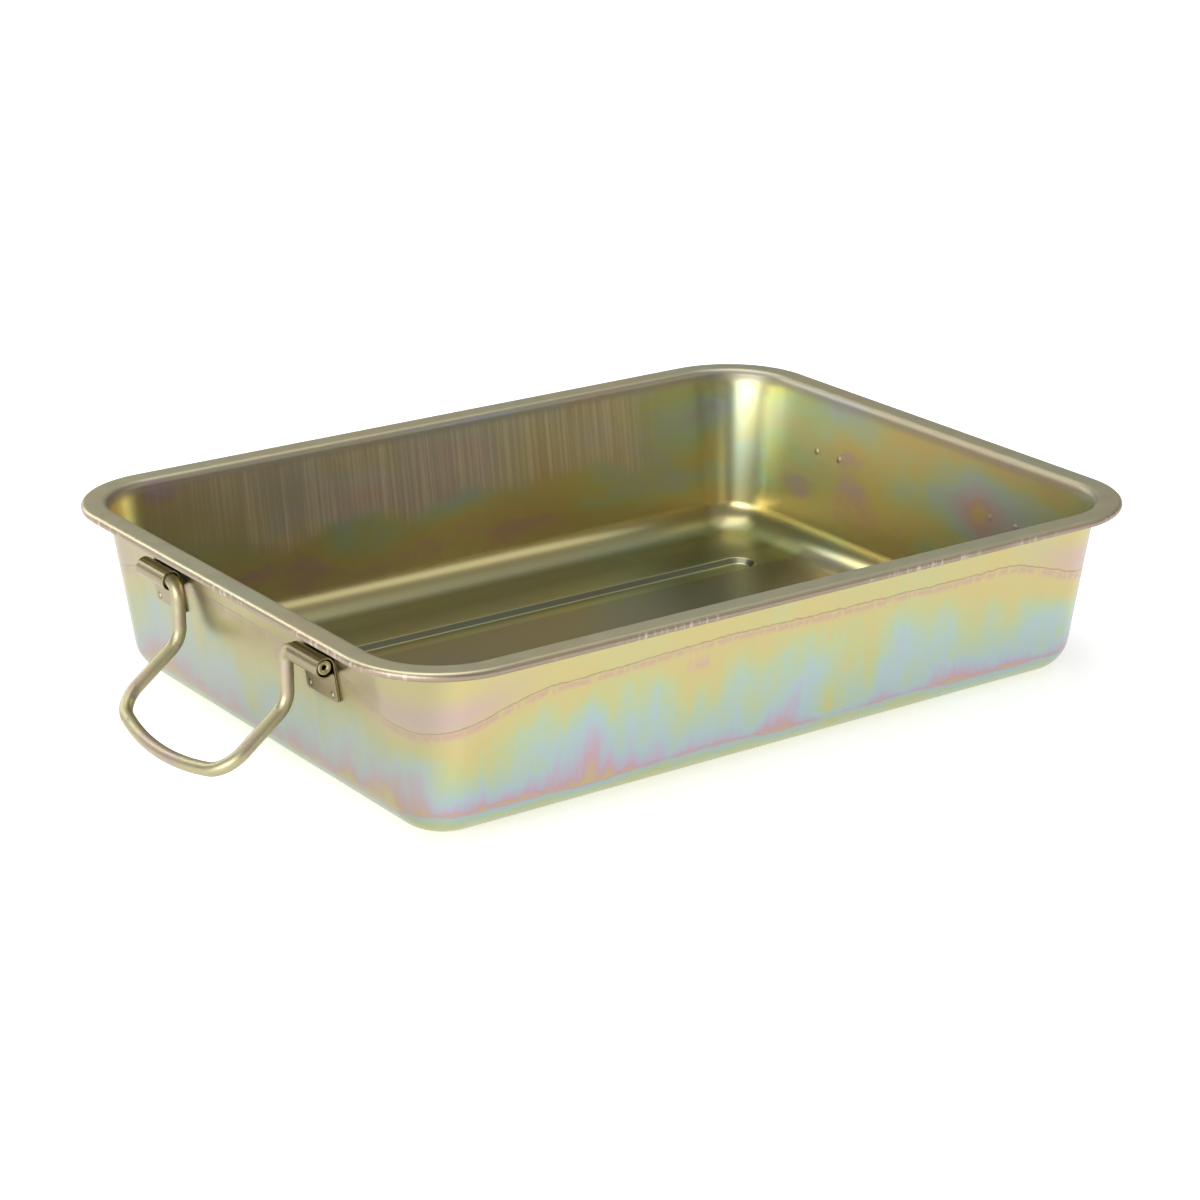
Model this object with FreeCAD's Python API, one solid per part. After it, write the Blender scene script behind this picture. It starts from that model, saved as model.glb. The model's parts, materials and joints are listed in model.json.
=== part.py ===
"""Pressed steel drip tray with two swinging bail handles, in millimetres.

Frame: X runs along the tray's length, with a handle at each end, Y across its width and +Z up.
The origin is on the ground, midway between the two beads that the tray stands on.
"""

import FreeCAD
import Part

import math
import os

V = FreeCAD.Vector

# ---- tray pressing ----
RIM_LENGTH = 525.0  # over the rolled edge
RIM_WIDTH = 400.0
RIM_HEIGHT = 110.0  # top of the flange above the ground
RIM_CORNER_RADIUS = 58.5  # outermost, in plan
SHEET = 0.8
ROLL_RADIUS = 2.6  # outside of the rolled edge
ROLL_TURN = 285.0  # degrees that the edge curls through
FLANGE_FLAT = 9.1  # between the rolled edge and the neck
NECK_RADIUS = 4.5  # upper face, flange to wall
DRAFT = 8.3  # lean of the walls, degrees
BASE_RADIUS = 22.0  # outside, wall to floor

# ---- the two standing beads pressed down out of the floor ----
BEAD_DEPTH = 3.5
BEAD_WIDTH = 24.0  # over the upper creases
BEAD_LENGTH = 384.0
BEAD_PITCH = 200.0  # between the two beads' centre lines
BEAD_SLOPE = 45.0  # degrees
BEAD_CREASE = 1.2  # inside radius of each crease

# ---- bail handles, bent from tube ----
TUBE_RADIUS = 4.0
TUBE_WALL = 0.7
LEG_SPACING = 121.0  # between the centre lines of a handle's legs
LEG_DROP = 33.0  # from the pivot down to the kink
KINK_ANGLE = 52.0  # degrees that the lower part kicks outwards
KINK_BEND = 16.0  # centre line radius
GRIP_REACH = 60.0  # from the kink to the middle of the grip
GRIP_BOW = 180.0  # centre line radius of the bowed grip
GRIP_CORNER = 19.0  # centre line radius
STUB_BEND = 8.0  # centre line radius, pivot stub to leg
STUB_PROUD = 0.5  # tube end beyond the bracket

# ---- brackets, each one folded strap ----
STRAP = 0.8
BRACKET_LENGTH = 32.0
BRACKET_GAP = 0.5  # from the end of the stub bend to the bracket
BRACKET_DROP = 21.6  # loop centre below the flange
TUBE_PLAY = 1.0  # radial, loop over tube
TUBE_LIFT = 0.75  # share of the play by which the tube sits up and out in the loop
TUBE_LIFT_ANGLE = 50.0  # of that offset, above the outward normal
LEAF_LENGTH = 22.5  # loop centre to the strap's lower edge
LEAF_GAP = 0.12  # between the two leaves
LEAF_BEND = 1.2  # inside radius where the loop turns into the front leaf
LEAF_CORNER = 1.6
WELD_PITCH = 23.0
WELD_EDGE = 4.6  # weld centre to the strap's lower edge
WELD_RADIUS = 1.7
WELD_DIMPLE = 0.3

FINE = 1e-6


def arc_point(centre, radius, degrees):
    """Point at an angle from the section's first axis; sections are drawn in X and Z."""
    a = math.radians(degrees)
    return V(centre.x + radius * math.cos(a), 0, centre.z + radius * math.sin(a))


def arc_edge(centre, radius, start, end):
    """Arc in the XZ plane from one angle to another, in degrees."""
    points = [arc_point(centre, radius, a) for a in (start, (start + end) / 2, end)]
    return Part.Arc(*points).toShape()


def line_edge(a, b):
    return Part.LineSegment(a, b).toShape()


def ribbon(stretches, thickness):
    """Sheet section of even thickness.

    Each stretch is a line, ("line", a, b), or an arc, ("arc", centre, radius, start, end), along the
    face that lies to the left of the direction of travel. The other face is offset to the right.
    """
    left, right, ends = [], [], []
    for kind, *data in stretches:
        if kind == "line":
            a, b = data
            along = (b - a).normalize()
            across = V(along.z, 0, -along.x) * thickness
            left.append(line_edge(a, b))
            right.append(line_edge(a + across, b + across))
            ends += [(a, a + across), (b, b + across)]
        else:
            centre, radius, start, end = data
            # a left-hand turn has its centre on the left, so the right face is the larger one
            other = radius + thickness if end > start else radius - thickness
            left.append(arc_edge(centre, radius, start, end))
            right.append(arc_edge(centre, other, start, end))
            ends += [
                (arc_point(centre, radius, a), arc_point(centre, other, a))
                for a in (start, end)
            ]
    caps = [line_edge(*ends[0]), line_edge(*ends[-1])]
    return Part.Face(Part.Wire(Part.__sortEdges__(left + right + caps)))


def single_solid(shape, name):
    """The shape as one clean solid."""
    shape = shape.removeSplitter()
    if len(shape.Solids) != 1 or not shape.isValid():
        raise ValueError(f"{name} should be one valid solid, not {len(shape.Solids)}")
    return shape.Solids[0]


def save(shape, name):
    shape.exportStep(os.path.join("parts", name + ".step"))
    print(name, "volume", round(shape.Volume, 1), "solids", len(shape.Solids))


# ---- tray ----


def wall_face_x(z):
    """Distance from the tray's middle to the outer face of an end wall at height z."""
    lean = math.radians(DRAFT)
    neck_x = RIM_LENGTH / 2 - ROLL_RADIUS - FLANGE_FLAT
    neck_z = RIM_HEIGHT - NECK_RADIUS
    inner = NECK_RADIUS - SHEET
    x = neck_x - inner * math.cos(lean)
    top = neck_z + inner * math.sin(lean)
    return x - (top - z) * math.tan(lean)


def tray_section():
    """Rolled edge, flange, wall and base bend of the +X end, from the curl's tip to the flat floor."""
    outer = RIM_LENGTH / 2
    roll = V(outer - ROLL_RADIUS, 0, RIM_HEIGHT - ROLL_RADIUS)
    neck = V(roll.x - FLANGE_FLAT, 0, RIM_HEIGHT - NECK_RADIUS)
    floor_z = BEAD_DEPTH + BASE_RADIUS
    base = V(wall_face_x(floor_z) - BASE_RADIUS / math.cos(math.radians(DRAFT)), 0, floor_z)
    # the upper and inner face, followed from the floor out to the curl, lies to the left
    inner_base = BASE_RADIUS - SHEET
    floor_start = V(base.x - SHEET, 0, BEAD_DEPTH + SHEET)
    return (
        [
            ("line", floor_start, arc_point(base, inner_base, -90)),
            ("arc", base, inner_base, -90, -DRAFT),
            (
                "line",
                arc_point(base, inner_base, -DRAFT),
                arc_point(neck, NECK_RADIUS, 180 - DRAFT),
            ),
            ("arc", neck, NECK_RADIUS, 180 - DRAFT, 90),
            ("line", arc_point(neck, NECK_RADIUS, 90), arc_point(roll, ROLL_RADIUS, 90)),
            ("arc", roll, ROLL_RADIUS, 90, 90 - ROLL_TURN),
        ],
        floor_start.x,
    )


def swept_round(section, corner_x, corner_y):
    """The section carried round a rounded rectangle.

    The section is drawn for the +X end. corner_x and corner_y are the corner centres' distances
    from the middle.
    """
    end = section.copy()
    end.translate(V(0, -corner_y, 0))
    end = end.extrude(V(0, 2 * corner_y, 0))
    side = section.copy()
    side.translate(V(corner_y - corner_x, -corner_x, 0))
    side = side.extrude(V(0, 2 * corner_x, 0))
    side.rotate(V(), V(0, 0, 1), 90)
    bend = section.copy()
    bend.translate(V(0, corner_y, 0))
    bend = bend.revolve(V(corner_x, corner_y, 0), V(0, 0, 1), 90)
    other_bend = bend.mirror(V(), V(1, 0, 0))
    ends = [end, end.mirror(V(), V(1, 0, 0))]
    near = [side, bend, other_bend]
    far = [piece.mirror(V(), V(0, 1, 0)) for piece in near]
    return ends + near + far


def stadium(length, width):
    """Flat face with round ends, length along X."""
    half, r = (length - width) / 2, width / 2
    edges = [
        line_edge(V(-half, -r, 0), V(half, -r, 0)),
        Part.Arc(V(half, -r, 0), V(half + r, 0, 0), V(half, r, 0)).toShape(),
        line_edge(V(half, r, 0), V(-half, r, 0)),
        Part.Arc(V(-half, r, 0), V(-half - r, 0, 0), V(-half, -r, 0)).toShape(),
    ]
    return Part.Face(Part.Wire(edges))


def bead_section():
    """Half of a bead across its width, drawn in X and Z from its middle outwards, upper face left."""
    slope = math.radians(BEAD_SLOPE)
    tight, wide = BEAD_CREASE, BEAD_CREASE + SHEET
    # the lower crease is concave seen from above and the upper one is convex
    bend_run = (tight + wide) * math.sin(slope)
    bend_rise = (tight + wide) * (1 - math.cos(slope))
    ramp = (BEAD_DEPTH - bend_rise) / math.tan(slope)
    upper = V(BEAD_WIDTH / 2, 0, BEAD_DEPTH + SHEET - wide)
    lower = V(upper.x - bend_run - ramp, 0, SHEET + tight)
    return [
        ("line", V(0, 0, SHEET), V(lower.x, 0, SHEET)),
        ("arc", lower, tight, -90, -90 + BEAD_SLOPE),
        (
            "line",
            arc_point(lower, tight, -90 + BEAD_SLOPE),
            arc_point(upper, wide, 90 + BEAD_SLOPE),
        ),
        ("arc", upper, wide, 90 + BEAD_SLOPE, 90),
    ]


def bead():
    """One standing bead along X, centred on the origin."""
    half = ribbon(bead_section(), SHEET)
    straight = BEAD_LENGTH - BEAD_WIDTH
    end = half.copy()
    end.translate(V(straight / 2, 0, 0))
    end = end.revolve(V(straight / 2, 0, 0), V(0, 0, 1), 360)
    other = end.mirror(V(), V(1, 0, 0))
    side = half.copy()
    side.rotate(V(), V(0, 0, 1), 90)
    side.translate(V(-straight / 2, 0, 0))
    side = side.extrude(V(straight, 0, 0))
    low = V(-straight / 2, -BEAD_WIDTH / 2, -BEAD_DEPTH)
    between = Part.makeBox(straight, BEAD_WIDTH, 4 * BEAD_DEPTH, low)
    return [end.cut(between), other.cut(between), side, side.mirror(V(), V(0, 1, 0))]


def tray_pan():
    """The one-piece pressing."""
    stretches, floor_x = tray_section()
    section = ribbon(stretches, SHEET)
    corner_x = RIM_LENGTH / 2 - RIM_CORNER_RADIUS
    corner_y = RIM_WIDTH / 2 - RIM_CORNER_RADIUS
    floor_reach = RIM_LENGTH / 2 - floor_x
    length, width = RIM_LENGTH - 2 * floor_reach, RIM_WIDTH - 2 * floor_reach
    corner = RIM_CORNER_RADIUS - floor_reach
    floor = Part.makeBox(length, width, SHEET, V(-length / 2, -width / 2, BEAD_DEPTH))
    uprights = [e for e in floor.Edges if abs(e.Vertexes[0].Z - e.Vertexes[1].Z) > SHEET / 2]
    floor = floor.makeFillet(corner, uprights)
    pieces = swept_round(section, corner_x, corner_y)
    for side in (-1, 1):
        hole = stadium(BEAD_LENGTH, BEAD_WIDTH).extrude(V(0, 0, 2 * BEAD_DEPTH))
        hole.translate(V(0, side * BEAD_PITCH / 2, 0))
        floor = floor.cut(hole)
        for piece in bead():
            piece.translate(V(0, side * BEAD_PITCH / 2, 0))
            pieces.append(piece)
    return single_solid(floor.fuse(pieces), "tray_pan")


# ---- brackets ----

LOOP_INNER = TUBE_RADIUS + TUBE_PLAY
LEG_Y = LEG_SPACING / 2
BRACKET_INNER_Y = LEG_Y + STUB_BEND + BRACKET_GAP
BRACKET_Y = BRACKET_INNER_Y + BRACKET_LENGTH / 2


def bracket_place():
    """Loop centre in XZ on the +X end wall, and the direction in which the wall leans."""
    z = RIM_HEIGHT - BRACKET_DROP
    lean = math.radians(DRAFT)
    reach = LOOP_INNER + STRAP
    # the loop's outside touches the leaning wall face
    return V(wall_face_x(z) + reach / math.cos(lean), 0, z)


def bracket():
    """Folded strap for the +X end, centred on Y = 0. X is away from the wall while it is drawn."""
    front_x = -LOOP_INNER + LEAF_GAP
    bend_x = front_x + STRAP + LEAF_BEND
    reach = LOOP_INNER + STRAP + LEAF_BEND
    drop = math.sqrt(reach**2 - bend_x**2)
    bend = V(bend_x, 0, -drop)
    fold = math.degrees(math.atan2(drop, bend_x))
    low = -LEAF_LENGTH
    # followed from the foot of the back leaf, up, over the tube and down the front leaf; the right-hand
    # face is the loop's inside
    stretches = [
        ("line", V(-LOOP_INNER - STRAP, 0, low), V(-LOOP_INNER - STRAP, 0, 0)),
        ("arc", V(), LOOP_INNER + STRAP, 180, -fold),
        ("arc", bend, LEAF_BEND, 180 - fold, 180),
        ("line", V(front_x + STRAP, 0, -drop), V(front_x + STRAP, 0, low)),
    ]
    strap = ribbon(stretches, STRAP).extrude(V(0, BRACKET_LENGTH, 0))
    strap.translate(V(0, -BRACKET_LENGTH / 2, 0))
    feet = [
        e
        for e in strap.Edges
        if abs(e.Vertexes[0].Z - low) < FINE
        and len(e.Vertexes) == 2
        and abs(e.Vertexes[1].Z - low) < FINE
        and abs(e.Vertexes[0].Y - e.Vertexes[1].Y) < FINE
    ]
    strap = strap.makeFillet(LEAF_CORNER, feet)
    weld_z = low + WELD_EDGE
    face_x = front_x + STRAP
    ball = (WELD_RADIUS**2 + WELD_DIMPLE**2) / (2 * WELD_DIMPLE)
    for side in (-1, 1):
        y = side * WELD_PITCH / 2
        nugget = Part.makeCylinder(WELD_RADIUS, LEAF_GAP, V(-LOOP_INNER, y, weld_z), V(1, 0, 0))
        dimple = Part.makeSphere(ball, V(face_x + ball - WELD_DIMPLE, y, weld_z))
        strap = strap.fuse(nugget).cut(dimple)
    strap.rotate(V(), V(0, 1, 0), DRAFT)
    strap.translate(bracket_place())
    return single_solid(strap, "bracket")


# ---- handles ----


def pivot_place():
    """Pivot axis on the +X end in XZ: the tube rides up and outwards in its loop."""
    a = math.radians(TUBE_LIFT_ANGLE - DRAFT)
    shift = TUBE_PLAY * TUBE_LIFT
    return bracket_place() + V(shift * math.cos(a), 0, shift * math.sin(a))


def handle():
    """Bail handle for the +X end, hanging with its legs upright, walked along like a bending job."""
    kink = math.radians(KINK_ANGLE)
    bow_half = LEG_Y - GRIP_CORNER
    # the corner arcs sit inside the legs and touch the bowed grip from within
    bow = math.degrees(math.asin(bow_half / (GRIP_BOW - GRIP_CORNER)))
    grip_depth = GRIP_BOW - (GRIP_BOW - GRIP_CORNER) * math.cos(math.radians(bow))
    lower_leg = GRIP_REACH - grip_depth - KINK_BEND * math.tan(kink / 2)
    upper_leg = LEG_DROP - STUB_BEND - KINK_BEND * math.tan(kink / 2)
    stub = BRACKET_INNER_Y + BRACKET_LENGTH + STUB_PROUD - LEG_Y - STUB_BEND
    down, out, side = V(0, 0, -1), V(1, 0, 0), V(0, 1, 0)
    slant = out * math.sin(kink) + down * math.cos(kink)
    facing = out * math.cos(kink) - down * math.sin(kink)
    half = [
        ("run", stub),
        ("bend", STUB_BEND, down, 90),
        ("run", upper_leg),
        ("bend", KINK_BEND, out, KINK_ANGLE),
        ("run", lower_leg),
        ("bend", GRIP_CORNER, side * -1, 90 - bow),
        ("bend", GRIP_BOW, (slant * -1), bow),
    ]
    place = pivot_place()
    at = V(place.x, LEG_Y + STUB_BEND + stub, place.z)
    heading = side * -1
    start = at
    path = []
    for kind, *data in half:
        if kind == "run":
            step = heading * data[0]
            path.append(line_edge(at, at + step))
            at = at + step
        else:
            radius, toward, degrees = data
            # the part of the wanted direction that is square to the heading
            toward = (toward - heading * toward.dot(heading)).normalize()
            centre = at + toward * radius
            axis = heading.cross(toward)
            middle = centre + FreeCAD.Rotation(axis, degrees / 2).multVec(at - centre)
            turn = FreeCAD.Rotation(axis, degrees)
            end = centre + turn.multVec(at - centre)
            path.append(Part.Arc(at, middle, end).toShape())
            at = end
            heading = turn.multVec(heading)
    path += [edge.mirror(V(), V(0, 1, 0)) for edge in reversed(path)]
    spine = Part.Wire(Part.__sortEdges__(path))
    tubes = [
        spine.makePipeShell([Part.Wire(Part.makeCircle(r, start, V(0, -1, 0)))], True, False)
        for r in (TUBE_RADIUS, TUBE_RADIUS - TUBE_WALL)
    ]
    return single_solid(tubes[0].cut(tubes[1]), "handle")


def main():
    os.makedirs("parts", exist_ok=True)
    save(tray_pan(), "tray_pan")
    one_handle, one_bracket = handle(), bracket()
    # the left end is the right end turned half round
    for end, turn in (("right", 0), ("left", 180)):
        piece = one_handle.copy()
        piece.rotate(V(), V(0, 0, 1), turn)
        save(piece, end + "_handle")
        for side in (-1, 1):
            piece = one_bracket.copy()
            piece.translate(V(0, side * BRACKET_Y, 0))
            piece.rotate(V(), V(0, 0, 1), turn)
            front = (side < 0) == (turn == 0)
            save(piece, f"{end}_{'front' if front else 'rear'}_bracket")
    pivot = pivot_place()
    print("pivot", round(pivot.x, 4), round(pivot.z, 4), "bracket_y", BRACKET_Y)


main()
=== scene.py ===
"""Finishes for a pressed steel drip tray with two swinging tube handles.

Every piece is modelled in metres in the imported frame: X along the tray, Y across it, +Z up.
"""

import json
import math

import bmesh
import bpy
from bpy.props import FloatProperty, FloatVectorProperty, IntProperty, PointerProperty
from mathutils import Matrix, Vector, noise


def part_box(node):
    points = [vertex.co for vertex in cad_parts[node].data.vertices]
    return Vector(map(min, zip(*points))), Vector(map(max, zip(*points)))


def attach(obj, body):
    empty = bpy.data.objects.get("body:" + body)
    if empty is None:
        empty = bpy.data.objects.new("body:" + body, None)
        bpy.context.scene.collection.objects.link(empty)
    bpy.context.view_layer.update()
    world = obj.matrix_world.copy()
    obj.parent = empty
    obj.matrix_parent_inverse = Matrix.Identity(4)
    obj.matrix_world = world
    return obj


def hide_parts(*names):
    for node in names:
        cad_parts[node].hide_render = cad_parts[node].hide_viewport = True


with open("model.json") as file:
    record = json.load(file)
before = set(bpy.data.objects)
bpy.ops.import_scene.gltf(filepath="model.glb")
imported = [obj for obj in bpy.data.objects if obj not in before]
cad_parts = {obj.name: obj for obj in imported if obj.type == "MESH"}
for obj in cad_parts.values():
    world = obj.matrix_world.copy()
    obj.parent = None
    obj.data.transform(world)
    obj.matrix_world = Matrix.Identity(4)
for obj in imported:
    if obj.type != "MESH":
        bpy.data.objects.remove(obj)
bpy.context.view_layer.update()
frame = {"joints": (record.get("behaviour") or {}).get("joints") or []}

bl_info = {
    "name": "Drip tray finisher",
    "version": (1, 0, 0),
    "blender": (4, 5, 0),
    "location": "3D View > Sidebar > Drip tray",
    "description": "Presses, folds and bends the pieces of a passivated steel drip tray",
    "category": "Add Mesh",
}

MM = 0.001
PAN_LOW, PAN_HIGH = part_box("tray_pan")
HINGE = next(j for j in frame["joints"] if j["child"] == "right_handle")
HINGE_X, _, HINGE_Z = HINGE["pos_m"]
STRAP_LOW, STRAP_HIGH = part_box("right_rear_bracket")
ENDS = (("right", 1), ("left", -1))
CLOSE = MM / 50  # points this near each other count as level, or as one

# places in the tray's list of finishes; the sheet's outer face takes the one after its inner face's
INSIDE, OUTSIDE, RIM = 0, 1, 2

# how bright the room is at each height on its walls, from the floor line towards the ceiling
ROOM_TONES = ((0.0, 0.36), (0.22, 0.34), (0.42, 0.38), (0.78, 0.40), (0.92, 1.0))
ROOM_CAST = (0.98, 0.99, 1.0)


def length(name, text, default):
    """A size in metres that a user can change."""
    return FloatProperty(name=name, description=text, default=default, unit="LENGTH", precision=5)


def angle(name, text, degrees):
    """An angle that a user can change."""
    return FloatProperty(
        name=name, description=text, default=math.radians(degrees), subtype="ANGLE", unit="ROTATION"
    )


def shade(name, text, red, green, blue):
    """A surface colour, given as the share of light that it throws back."""
    return FloatVectorProperty(
        name=name, description=text, default=(red, green, blue), subtype="COLOR", size=3, min=0, max=1
    )


def tint(name, text, red, green, blue):
    """A surface colour, given as it shows on a screen, from 0 to 255."""
    screen = [c / 255 for c in (red, green, blue)]
    linear = [c / 12.92 if c <= 0.04045 else ((c + 0.055) / 1.055) ** 2.4 for c in screen]
    return shade(name, text, *linear)


# ---------------------------------------------------------------- sizes and colours


class PanShape(bpy.types.PropertyGroup):
    """Sizes of the one-piece pressing."""

    rim_length: length("Rim length", "Over the rolled edge, along the tray", PAN_HIGH.x - PAN_LOW.x)
    rim_width: length("Rim width", "Over the rolled edge, across the tray", PAN_HIGH.y - PAN_LOW.y)
    rim_height: length("Rim height", "Top of the flange above the ground", PAN_HIGH.z)
    corner_radius: length("Corner radius", "Outermost corner in plan", 58.5 * MM)
    sheet: length("Sheet", "Thickness of the steel", 0.8 * MM)
    roll_radius: length("Roll radius", "Outside of the rolled edge", 2.6 * MM)
    roll_turn: angle("Roll turn", "How far the edge is curled", 285)
    flange: length("Flange", "Flat between the rolled edge and the neck", 9.1 * MM)
    neck_radius: length("Neck radius", "Upper face from flange to wall", 4.5 * MM)
    draft: angle("Draft", "Lean of the walls", 8.3)
    base_radius: length("Base radius", "Outside, from wall to floor", 22 * MM)
    bead_depth: length("Bead depth", "Drop of the standing beads below the floor", 3.5 * MM)
    bead_width: length("Bead width", "Over the upper creases", 24 * MM)
    bead_length: length("Bead length", "Over the rounded tips", 384 * MM)
    bead_pitch: length("Bead pitch", "Between the centre lines of the two beads", 200 * MM)
    bead_slope: angle("Bead slope", "Steepness of the beads' sides", 45)
    bead_crease: length("Bead crease", "Inside radius of the creases", 1.2 * MM)
    waviness: length("Waviness", "Most that the drawn walls wander off true", 0.3 * MM)
    corner_steps: IntProperty(name="Corner steps", description="Faces round a corner", default=40)


class StrapShape(bpy.types.PropertyGroup):
    """Sizes of the folded straps that hold the handles."""

    width: length("Width", "Along the pivot", STRAP_HIGH.y - STRAP_LOW.y)
    sheet: length("Sheet", "Thickness of the strap", 0.8 * MM)
    loop_radius: length("Loop radius", "Inside of the loop", 5 * MM)
    drop: length("Drop", "Loop centre below the flange", 21.6 * MM)
    leaf: length("Leaf", "Loop centre to the lower edge", 22.5 * MM)
    leaf_gap: length("Leaf gap", "Between the two leaves", 0.12 * MM)
    fold_radius: length("Fold radius", "Inside, where the loop turns into the front leaf", 1.2 * MM)
    corner: length("Corner", "Rounding of the leaves' lower corners", 1.6 * MM)
    weld_pitch: length("Weld pitch", "Between the two spot welds", 23 * MM)
    weld_edge: length("Weld edge", "Spot weld to the lower edge", 4.6 * MM)
    weld_radius: length("Weld radius", "Half the width of a spot weld", 1.7 * MM)
    weld_depth: length("Weld depth", "Depth of a spot weld", 0.3 * MM)


class HandleShape(bpy.types.PropertyGroup):
    """Sizes of the bent tube handles."""

    tube: length("Tube", "Outside radius", 4 * MM)
    wall: length("Wall", "Thickness of the tube", 0.7 * MM)
    spacing: length("Spacing", "Between the centre lines of the legs", 121 * MM)
    drop: length("Drop", "From the pivot down to the kink", 33 * MM)
    kink: angle("Kink", "How far the lower part kicks out", 52)
    kink_bend: length("Kink bend", "Centre line radius", 16 * MM)
    reach: length("Reach", "From the kink to the middle of the grip", 60 * MM)
    bow: length("Bow", "Centre line radius of the grip", 180 * MM)
    corner: length("Corner", "Centre line radius between leg and grip", 19 * MM)
    stub_bend: length("Stub bend", "Centre line radius between pivot and leg", 8 * MM)
    proud: length("Proud", "Tube end beyond the strap", 0.5 * MM)
    crimp: length("Crimp", "Depth of the wrinkles inside a bend", 0.12 * MM)


class FinishColours(bpy.types.PropertyGroup):
    """Colours of the passivate film, thinnest first, and then of what is laid over it."""

    straw: tint("Straw", "Thinnest film", 192, 179, 126)
    apricot: tint("Apricot", "Film turning from straw to pink", 191, 165, 138)
    pink: tint("Pink", "Film that shows pink", 186, 158, 167)
    lilac: tint("Lilac", "Film that shows lilac", 174, 170, 185)
    cyan: tint("Cyan", "Film that shows pale blue", 165, 184, 186)
    green: tint("Green", "Film that shows pale green", 170, 186, 160)
    lime: tint("Lime", "Film turning back to straw", 182, 184, 136)
    hem: shade("Hem", "Dashes along the draw line", 0.50, 0.33, 0.26)
    draw_line: shade("Draw line", "Line that the draw leaves round the walls", 0.22, 0.17, 0.15)
    # painted shade over the outer end walls
    painted_end_wall_shade: shade("End wall", "Shade over the outer end walls", 0.24, 0.23, 0.15)
    floor_middle: shade("Floor middle", "Floor between the beads", 0.24, 0.18, 0.18)
    floor_edge: shade("Floor edge", "Floor between a bead and the wall", 0.15, 0.21, 0.15)
    # painted shade on the sloping sides of the beads
    painted_groove_shade: shade("Groove", "Sloping sides of the beads", 0.05, 0.07, 0.07)
    # painted shade over the whole inside
    inner: shade("Inner", "Shade over the whole inside", 0.42, 0.38, 0.24)
    galled: shade("Galled", "Rubbed zone on the inner long walls", 0.50, 0.37, 0.28)
    scored: shade("Scored", "Bright stripes in the rubbed zone", 0.74, 0.66, 0.50)
    neck: shade("Neck", "Bend from wall to flange", 0.36, 0.30, 0.27)
    weld_back: shade("Weld back", "Inner face behind a spot weld", 0.45, 0.40, 0.36)
    flange: shade("Flange", "Shade over the rim", 0.68, 0.61, 0.47)
    roll: shade("Roll", "Rolled edge", 0.30, 0.23, 0.18)
    nick: shade("Nick", "Marks of the curling tool", 0.72, 0.60, 0.52)
    strap: shade("Strap", "Shade over the straps", 0.22, 0.18, 0.13)
    # painted shade in the dip round a spot weld
    weld_ring_painted_shade: shade("Weld ring", "Dip round a spot weld's knob", 0.08, 0.06, 0.05)
    # painted highlight on a spot weld's knob
    weld_knob_painted_highlight: shade("Weld knob", "Knob of a spot weld", 0.80, 0.74, 0.62)
    tube: shade("Tube", "Shade over the handles", 0.30, 0.30, 0.24)
    rubbed: shade("Rubbed", "Rubs along the handles", 0.30, 0.28, 0.27)


class StageSetup(bpy.types.PropertyGroup):
    """Camera and light."""

    lens: FloatProperty(name="Lens", description="Focal length on a 36 mm sensor", default=97.92)
    camera: FloatVectorProperty(
        name="Camera", description="Place of the camera", default=(-1.0602, -1.4951, 0.7039),
        subtype="TRANSLATION", unit="LENGTH",
    )
    azimuth: angle("Azimuth", "Direction that the camera stands in", -35.3)
    elevation: angle("Elevation", "Height of the camera's view over the horizon", 19.77)
    floor_size: length("Floor size", "Side of the pale floor", 14)
    ambient: FloatProperty(name="Ambient", description="Strength of the room's light", default=0.85)
    glow: FloatProperty(name="Glow", description="Light from under the floor", default=0.55)
    overhead: FloatProperty(name="Overhead", description="Power of the large softbox", default=42)
    front: FloatProperty(name="Front", description="Power of the panel to the front right", default=8)
    back: FloatProperty(name="Back", description="Power of the tall panel behind", default=24)
    left: FloatProperty(name="Left", description="Power of the low panel to the left", default=62)


# ---------------------------------------------------------------- modelling helpers


def finished(name, bm, body, finishes):
    """Turn a bmesh into a piece that rides on a body."""
    mesh = bpy.data.meshes.new(name)
    bm.to_mesh(mesh)
    bm.free()
    for finish in finishes:
        mesh.materials.append(finish)
    mesh.shade_smooth()
    piece = bpy.data.objects.new(name, mesh)
    bpy.context.scene.collection.objects.link(piece)
    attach(piece, body)
    return piece


def give_wall(piece, thickness, material_offset=0):
    """Thicken a sheet or tube inwards from its outer face."""
    wall = piece.modifiers.new("Wall", "SOLIDIFY")
    wall.thickness = thickness
    wall.offset = -1
    wall.use_even_offset = True
    wall.use_quality_normals = True
    wall.material_offset = material_offset
    wall.material_offset_rim = material_offset


def soften(piece, radius, segments=2):
    """Break the cut edges of a piece and weight its shading to its large faces."""
    if radius:
        edge = piece.modifiers.new("Broken edge", "BEVEL")
        edge.width = radius
        edge.segments = segments
        edge.limit_method = "ANGLE"
        edge.angle_limit = math.radians(50)
    shading = piece.modifiers.new("Even shading", "WEIGHTED_NORMAL")
    shading.keep_sharp = True


def draw_section(bm, start, stretches):
    """Draw a section in the XZ plane from its first point, and return its edges in order.

    A stretch is ("line", end), or ("arc", centre, turn, steps), turned from +Z towards +X.
    """
    last = bm.verts.new(start)
    for kind, *data in stretches:
        if kind == "line":
            made = bmesh.ops.extrude_vert_indiv(bm, verts=[last])["verts"]
            made[0].co = data[0]
            last = made[0]
        else:
            centre, turn, steps = data
            made = bmesh.ops.spin(
                bm, geom=[last], cent=centre, axis=(0, 1, 0), angle=turn, steps=steps
            )["geom_last"]
            last = next(g for g in made if isinstance(g, bmesh.types.BMVert))
    return list(bm.edges)


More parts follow.
